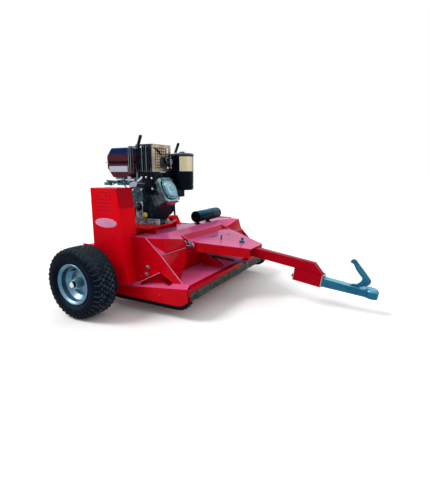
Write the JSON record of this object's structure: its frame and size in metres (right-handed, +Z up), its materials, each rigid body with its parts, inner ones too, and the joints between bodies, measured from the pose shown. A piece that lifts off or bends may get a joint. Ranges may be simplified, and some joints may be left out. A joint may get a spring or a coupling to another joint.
{
  "type": "towed flail mower",
  "caption": "Towed hammer knife mower: folded hood over a belt-driven rotor with swinging hammers, engine on a platform, side wheels on a rocker axle and a pivoting drawbar with ball coupler.",
  "frame": {"origin": "ground under the middle of the bounding box, with the tyres standing on Z = 0", "axes": "+X forward along the drawbar towards the tow vehicle, +Y to the machine's left, +Z up"},
  "size_m": [1.8358, 1.709, 1.0812],
  "materials": {
    "red_paint": "gloss red paint on folded steel sheet",
    "black_steel": "black paint on steel",
    "engine_black": "semi gloss black paint on pressed steel",
    "cast_alloy": "plain die cast alloy",
    "zinc": "bluish zinc plate",
    "steel": "bare steel",
    "rubber": "matt black tyre rubber",
    "flap_rubber": "grey rubber sheet",
    "black_plastic": "black moulded plastic",
    "yellow_plastic": "yellow moulded plastic",
    "belt": "black belt rubber"
  },
  "bodies": {
    "deck": {"deck_shell": "red_paint", "side_plate_right": "red_paint", "side_plate_left": "red_paint", "skirt_rail_right": "red_paint", "skirt_rail_left": "red_paint", "skid_right": "black_steel", "skid_left": "black_steel", "front_bar": "red_paint", "hitch_beam": "red_paint", "link_bracket": "red_paint", "hinge_pin_right": "zinc", "hinge_pin_left": "zinc", "bearing_right": "cast_alloy", "bearing_left": "cast_alloy", "drive_belt": "belt", "belt_guard": "red_paint", "engine_platform": "red_paint", "crankcase": "cast_alloy", "cylinder_head": "cast_alloy", "valve_cover": "zinc", "blower_housing": "engine_black", "starter_cover": "engine_black", "fuel_tank": "engine_black", "muffler": "black_steel", "muffler_guard": "steel", "air_cleaner": "engine_black", "document_tube": "black_plastic"},
    "rocker": {"axle_rocker": "black_steel", "height_lever": "black_steel"},
    "wheel_right": {"rim_right": "zinc", "tyre_right": "rubber"},
    "wheel_left": {"rim_left": "zinc", "tyre_left": "rubber"},
    "rotor_drum": {"rotor": "black_steel", "rotor_pulley": "cast_alloy"},
    "swing_hammer_1": {"hammer_1": "steel"},
    "swing_hammer_2": {"hammer_2": "steel"},
    "swing_hammer_3": {"hammer_3": "steel"},
    "swing_hammer_4": {"hammer_4": "steel"},
    "crank": {"crankshaft": "steel", "drive_pulley": "cast_alloy"},
    "tension_arm": {"tension_lever": "black_steel"},
    "idler": {"idler_pulley": "cast_alloy"},
    "flap_1": {"front_flap_1": "flap_rubber"},
    "flap_2": {"front_flap_2": "flap_rubber"},
    "flap_3": {"front_flap_3": "flap_rubber"},
    "flap_4": {"front_flap_4": "flap_rubber"},
    "tow_plate": {"hitch_plate": "red_paint", "pivot_bolt": "zinc"},
    "drawbar": {"drawbar_tube": "red_paint", "coupler": "zinc"},
    "latch": {"latch_handle": "zinc"},
    "turnbuckle_eye": {"link_eye": "zinc"},
    "turnbuckle_barrel": {"link_barrel": "black_steel"},
    "turnbuckle_rod": {"link_rod": "zinc"},
    "starter_grip": {"starter_handle": "black_plastic"},
    "tank_cap": {"fuel_cap": "black_plastic"},
    "cleaner_lid": {"air_cleaner_lid": "engine_black"},
    "oil_filler_cap": {"oil_cap": "yellow_plastic"},
    "holder_cap": {"document_cap": "black_plastic"}
  },
  "joints": [
    {"name": "cut_height", "type": "hinge", "parent": "deck", "child": "rocker", "pos_m": [-0.84293, 0, 0.3], "axis": [0, 1, 0], "range_deg": [-11, 8]},
    {"name": "wheel_right_spin", "type": "hinge", "parent": "rocker", "child": "wheel_right", "pos_m": [-0.55293, -0.772, 0.203], "axis": [0, 1, 0], "continuous": true},
    {"name": "wheel_left_spin", "type": "hinge", "parent": "rocker", "child": "wheel_left", "pos_m": [-0.55293, 0.772, 0.203], "axis": [0, 1, 0], "continuous": true},
    {"name": "rotor_spin", "type": "hinge", "parent": "deck", "child": "rotor_drum", "pos_m": [-0.45293, 0, 0.226], "axis": [0, 1, 0], "continuous": true},
    {"name": "crank_spin", "type": "hinge", "parent": "deck", "child": "crank", "pos_m": [-0.46793, -0.5, 0.595], "axis": [0, 1, 0], "continuous": true},
    {"name": "belt_tension", "type": "hinge", "parent": "deck", "child": "tension_arm", "pos_m": [-0.57793, 0, 0.535], "axis": [0, 1, 0], "range_deg": [0, 12]},
    {"name": "idler_spin", "type": "hinge", "parent": "tension_arm", "child": "idler", "pos_m": [-0.53927, -0.587, 0.42], "axis": [0, 1, 0], "continuous": true},
    {"name": "hammer_1_swing", "type": "hinge", "parent": "rotor_drum", "child": "swing_hammer_1", "pos_m": [-0.45293, -0.321, 0.17], "axis": [0, 1, 0], "range_deg": [-80, 80]},
    {"name": "hammer_2_swing", "type": "hinge", "parent": "rotor_drum", "child": "swing_hammer_2", "pos_m": [-0.39693, -0.107, 0.226], "axis": [0, 1, 0], "range_deg": [-150, 23]},
    {"name": "hammer_3_swing", "type": "hinge", "parent": "rotor_drum", "child": "swing_hammer_3", "pos_m": [-0.50893, 0.107, 0.226], "axis": [0, 1, 0], "range_deg": [-23, 150]},
    {"name": "hammer_4_swing", "type": "hinge", "parent": "rotor_drum", "child": "swing_hammer_4", "pos_m": [-0.45293, 0.321, 0.17], "axis": [0, 1, 0], "range_deg": [-80, 80]},
    {"name": "flap_1_swing", "type": "hinge", "parent": "deck", "child": "flap_1", "pos_m": [0.00707, -0.40403, 0.166], "axis": [0, 1, 0], "range_deg": [-25, 70]},
    {"name": "flap_2_swing", "type": "hinge", "parent": "deck", "child": "flap_2", "pos_m": [0.00707, -0.13467, 0.166], "axis": [0, 1, 0], "range_deg": [-25, 70]},
    {"name": "flap_3_swing", "type": "hinge", "parent": "deck", "child": "flap_3", "pos_m": [0.00707, 0.13467, 0.166], "axis": [0, 1, 0], "range_deg": [-25, 70]},
    {"name": "flap_4_swing", "type": "hinge", "parent": "deck", "child": "flap_4", "pos_m": [0.00707, 0.40403, 0.166], "axis": [0, 1, 0], "range_deg": [-25, 70]},
    {"name": "drawbar_pitch", "type": "hinge", "parent": "deck", "child": "tow_plate", "pos_m": [-0.14003, 0, 0.3582], "axis": [0, 1, 0], "range_deg": [-10, 10]},
    {"name": "drawbar_swing", "type": "hinge", "parent": "tow_plate", "child": "drawbar", "pos_m": [0.07063, 0, 0.32672], "axis": [0.1478, 0, 0.989], "range_deg": [-10, 10]},
    {"name": "latch_lift", "type": "hinge", "parent": "drawbar", "child": "latch", "pos_m": [0.79008, 0, 0.15448], "axis": [0, -1, 0], "range_deg": [0, 50]},
    {"name": "link_tilt", "type": "hinge", "parent": "deck", "child": "turnbuckle_eye", "pos_m": [-0.15293, -0.075, 0.262], "axis": [0, 1, 0], "range_deg": [-12, 12]},
    {"name": "barrel_turn", "type": "hinge", "parent": "turnbuckle_eye", "child": "turnbuckle_barrel", "pos_m": [-0.05321, -0.075, 0.25445], "axis": [0.9971, 0, -0.0755], "continuous": true},
    {"name": "link_slide", "type": "slide", "parent": "turnbuckle_eye", "child": "turnbuckle_rod", "axis": [0.9971, 0, -0.0755], "range_m": [-0.02, 0.02]},
    {"name": "starter_pull", "type": "slide", "parent": "deck", "child": "starter_grip", "axis": [1, 0, 0], "range_m": [0, 0.35], "stiffness_N_per_m": 20, "springref_m": -0.3},
    {"name": "tank_cap_turn", "type": "hinge", "parent": "deck", "child": "tank_cap", "pos_m": [-0.61293, -0.225, 0.965], "axis": [0, 0, 1], "range_deg": [0, 90]},
    {"name": "cleaner_lid_lift", "type": "slide", "parent": "deck", "child": "cleaner_lid", "axis": [0, 0, 1], "range_m": [0, 0.08]},
    {"name": "oil_cap_turn", "type": "hinge", "parent": "deck", "child": "oil_filler_cap", "pos_m": [-0.41293, -0.385, 0.545], "axis": [0, -1, 0], "range_deg": [0, 360]},
    {"name": "holder_cap_pull", "type": "slide", "parent": "deck", "child": "holder_cap", "axis": [0, 1, 0], "range_m": [0, 0.13]}
  ],
  "couplings": [
    {"joint": "crank_spin", "follows": "rotor_spin", "ratio": 0.80769},
    {"joint": "idler_spin", "follows": "rotor_spin", "ratio": -2.2727},
    {"joint": "link_tilt", "follows": "drawbar_pitch", "ratio": 0.98074},
    {"joint": "link_slide", "follows": "drawbar_pitch", "m_per_rad": -0.0969}
  ]
}
